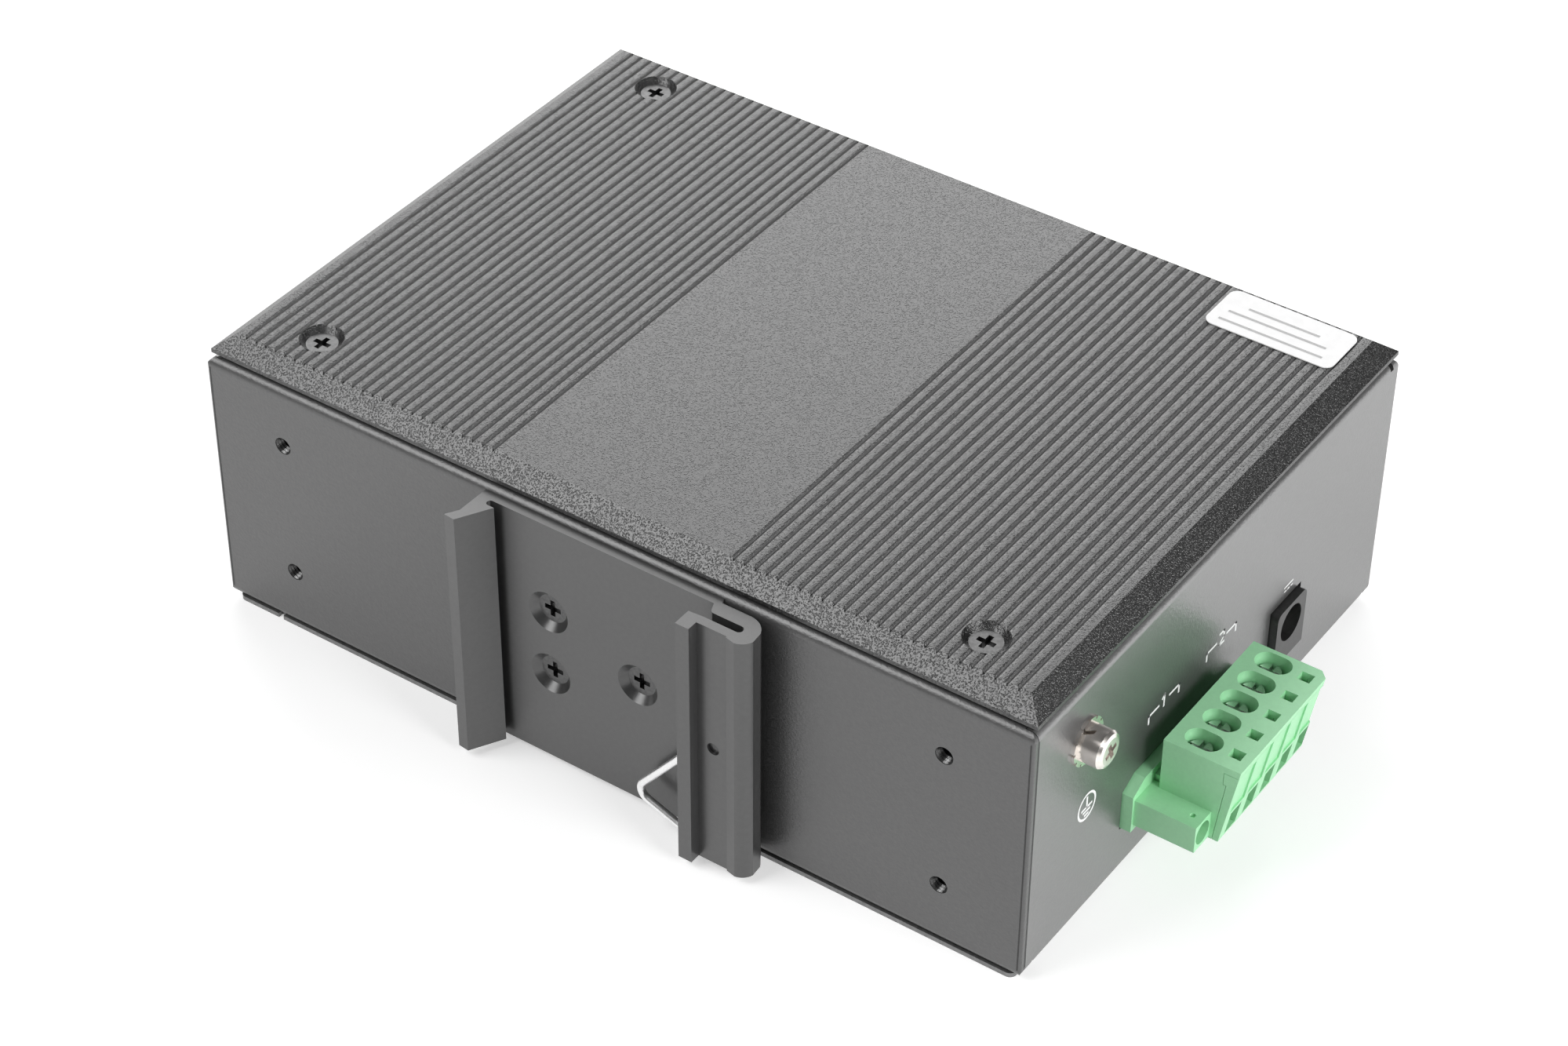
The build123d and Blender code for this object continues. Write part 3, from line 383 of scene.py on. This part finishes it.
class Flat:
    """Thin marks drawn on a plane, gathered into one mesh."""

    def __init__(self, place):
        self.place = place
        self.points = []
        self.faces = []

    def polygon(self, corners):
        """A filled convex polygon."""
        start = len(self.points)
        self.points += [self.place(u, v) for u, v in corners]
        self.faces.append(list(range(start, start + len(corners))))

    def bar(self, first, second, width=MARK_LINE):
        """A straight line of that width with square ends."""
        a = Vector(first)
        b = Vector(second)
        along = (b - a).normalized() * (width / 2)
        across = Vector((-along.y, along.x))
        self.polygon([a - along + across, a - along - across, b + along - across, b + along + across])

    def ring(self, centre, radius, width=MARK_LINE):
        """A round line."""
        for index in range(RING_STEPS):
            corners = []
            for turn, reach in ((index, -1), (index, 1), (index + 1, 1), (index + 1, -1)):
                angle = 2 * math.pi * turn / RING_STEPS
                distance = radius + reach * width / 2
                corners.append((centre[0] + distance * math.cos(angle),
                                centre[1] + distance * math.sin(angle)))
            self.polygon(corners)


# marks on the end wall
marks = Flat(lambda u, v: (END_FACE + MARK_LIFT, u, v))
for near, far, numeral in GROUPS:
    middle = (near + far) / 2
    marks.bar((near, GROUP_FOOT), (near, GROUP_LEVEL))
    marks.bar((near, GROUP_LEVEL), (middle - GROUP_GAP, GROUP_LEVEL))
    marks.bar((middle + GROUP_GAP, GROUP_LEVEL), (far, GROUP_LEVEL))
    marks.bar((far, GROUP_LEVEL), (far, GROUP_FOOT))
    for first, second in numeral:
        marks.bar((middle + first[0], first[1]), (middle + second[0], second[1]))
marks.ring(EARTH_CENTRE, EARTH_RADIUS)
for first, second in EARTH_LINES:
    marks.bar(first, second)
for first, second in [SUPPLY_BAR] + SUPPLY_DASHES:
    marks.bar(first, second, SUPPLY_LINE)
piece("end_marks", marks.points, marks.faces, mark_white)

# faint grey bars on the label
bars = Flat(lambda u, v: (LABEL_CENTRE[0] + u, LABEL_CENTRE[1] + v, LABEL_TOP + MARK_LIFT))
for start, stop, row in LABEL_BARS:
    bars.bar((start, row), (stop, row), LABEL_LINE)
piece("label_bars", bars.points, bars.faces, label_print)


def thread_rings():
    """Fine ridges in the four tapped holes, in the dark screw steel, which paints the shade inside the
    holes.
    """
    points = []
    faces = []
    for x, z in WALL_HOLES:
        for turn in range(int(THREAD_DEPTH / THREAD_PITCH)):
            start = BACK_FACE + THREAD_START + turn * THREAD_PITCH
            base = len(points)
            for index in range(THREAD_STEPS):
                angle = 2 * math.pi * index / THREAD_STEPS
                for radius, depth in ((THREAD_OUTER, 0.0), (THREAD_OUTER - THREAD_RISE, THREAD_PITCH / 2),
                                      (THREAD_OUTER, THREAD_PITCH)):
                    points.append((x + radius * math.cos(angle), start + depth,
                                   z + radius * math.sin(angle)))
            for index in range(THREAD_STEPS):
                here = base + index * 3
                there = base + ((index + 1) % THREAD_STEPS) * 3
                faces.append([here, here + 1, there + 1, there])
                faces.append([here + 1, here + 2, there + 2, there + 1])
    return points, faces


def seam_shade_strips():
    """Painted shade beside each rear corner: dark hairlines for the gap on the end wall and the crease on
    the back sheet.
    """
    points = []
    for side in (-1, 1):
        end = side * (END_FACE + MARK_LIFT)
        back = BACK_FACE - MARK_LIFT
        near, far = (BACK_FACE + inset for inset in SEAM_ON_END)
        first, last = (side * (END_FACE - inset) for inset in SEAM_ON_BACK)
        for start, stop in (((end, near), (end, far)), ((first, back), (last, back))):
            points += [(*start, SEAM_LOW), (*stop, SEAM_LOW), (*stop, SEAM_HIGH), (*start, SEAM_HIGH)]
    faces = [list(range(corner, corner + 4)) for corner in range(0, len(points), 4)]
    return points, faces


# black strips of painted shade along the rear seams
seam_points, seam_faces = seam_shade_strips()
piece("seam_shade_strips", seam_points, seam_faces, part_black)
# the thread ridges take the dark screw steel, painted shade that keeps the holes dark
ring_points, ring_faces = thread_rings()
piece("hole_threads", ring_points, ring_faces, dark_steel)


def seen_directly(tree):
    """One for rays that see a background straight, in a reflection or through glass."""
    paths = tree.nodes.new("ShaderNodeLightPath")
    total = paths.outputs["Is Camera Ray"]
    for name in ("Is Glossy Ray", "Is Transmission Ray"):
        total = math_node(tree, "MAXIMUM", total, paths.outputs[name])
    return total


# floor
floor_mesh = bpy.data.meshes.new("floor")
floor_corners = [(x * FLOOR_REACH, y * FLOOR_REACH, 0) for x, y in ((-1, -1), (1, -1), (1, 1), (-1, 1))]
floor_mesh.from_pydata(floor_corners, [], [[0, 1, 2, 3]])
floor = bpy.data.objects.new("floor", floor_mesh)
bpy.context.scene.collection.objects.link(floor)
floor_material, floor_shader = new_material("floor")
floor_tree = floor_material.node_tree
floor_tree.links.new(seen_directly(floor_tree), floor_shader.inputs["Emission Strength"])
floor_shader.inputs["Emission Color"].default_value = (*grey(FLOOR_GLOW), 1)
floor_shader.inputs["Base Color"].default_value = (*grey(FLOOR_GREY), 1)
floor_shader.inputs["Roughness"].default_value = FLOOR_ROUGHNESS
floor_shader.inputs["Specular IOR Level"].default_value = 0.0
floor_mesh.materials.append(floor_material)

# world
world = bpy.data.worlds.new("studio")
bpy.context.scene.world = world
world.use_nodes = True
world_tree = world.node_tree
background = world_tree.nodes["Background"]
direction = world_tree.nodes.new("ShaderNodeSeparateXYZ")
world_place = world_tree.nodes.new("ShaderNodeTexCoord")
world_tree.links.new(world_place.outputs["Generated"], direction.inputs["Vector"])
fade = map_range(world_tree, direction.outputs["Z"], HORIZON_WHITE, HORIZON_DIM, 1.0, SKY)
world_tree.links.new(fade, background.inputs["Strength"])
background.inputs["Color"].default_value = (1, 1, 1, 1)


def lamp(name, place, target, size, power):
    """A soft area light in millimetres, aimed at a point."""
    light = bpy.data.lights.new(name, "AREA")
    light.shape = "RECTANGLE"
    light.size = size[0] * MM
    light.size_y = size[1] * MM
    light.energy = power
    thing = bpy.data.objects.new(name, light)
    bpy.context.scene.collection.objects.link(thing)
    start = Vector(place) * MM
    thing.location = start
    thing.rotation_euler = (Vector(target) * MM - start).to_track_quat("-Z", "Y").to_euler()


lamp("back left", place=(-450, 650, 450), target=(0, 0, 20), size=(1000, 700), power=6.4)
lamp("front left", place=(-430, -560, 720), target=(0, 0, 20), size=(620, 620), power=5.4)
lamp("right", place=(620, -60, 300), target=(74, 0, 20), size=(400, 300), power=3.6)

# camera
azimuth = math.radians(CAMERA_AZIMUTH)
elevation = math.radians(CAMERA_ELEVATION)
roll = math.radians(CAMERA_ROLL)
forward = Vector((-math.sin(azimuth) * math.cos(elevation), math.cos(azimuth) * math.cos(elevation),
                  -math.sin(elevation)))
right = Vector((math.cos(azimuth), math.sin(azimuth), 0))
up = right.cross(forward)
right_rolled = right * math.cos(roll) + up * math.sin(roll)
up_rolled = right_rolled.cross(forward)
camera_data = bpy.data.cameras.new("camera")
camera_data.sensor_width = SENSOR
camera_data.lens = SENSOR * FOCAL_PIXELS / PHOTO_WIDTH
camera_data.clip_start = CLIP_START
camera = bpy.data.objects.new("camera", camera_data)
bpy.context.scene.collection.objects.link(camera)
camera_turn = Matrix((right_rolled, up_rolled, -forward)).transposed().to_4x4()
camera.matrix_world = Matrix.Translation(Vector(CAMERA_PLACE) * MM) @ camera_turn
bpy.context.scene.camera = camera

bpy.context.scene.view_settings.view_transform = "Standard"
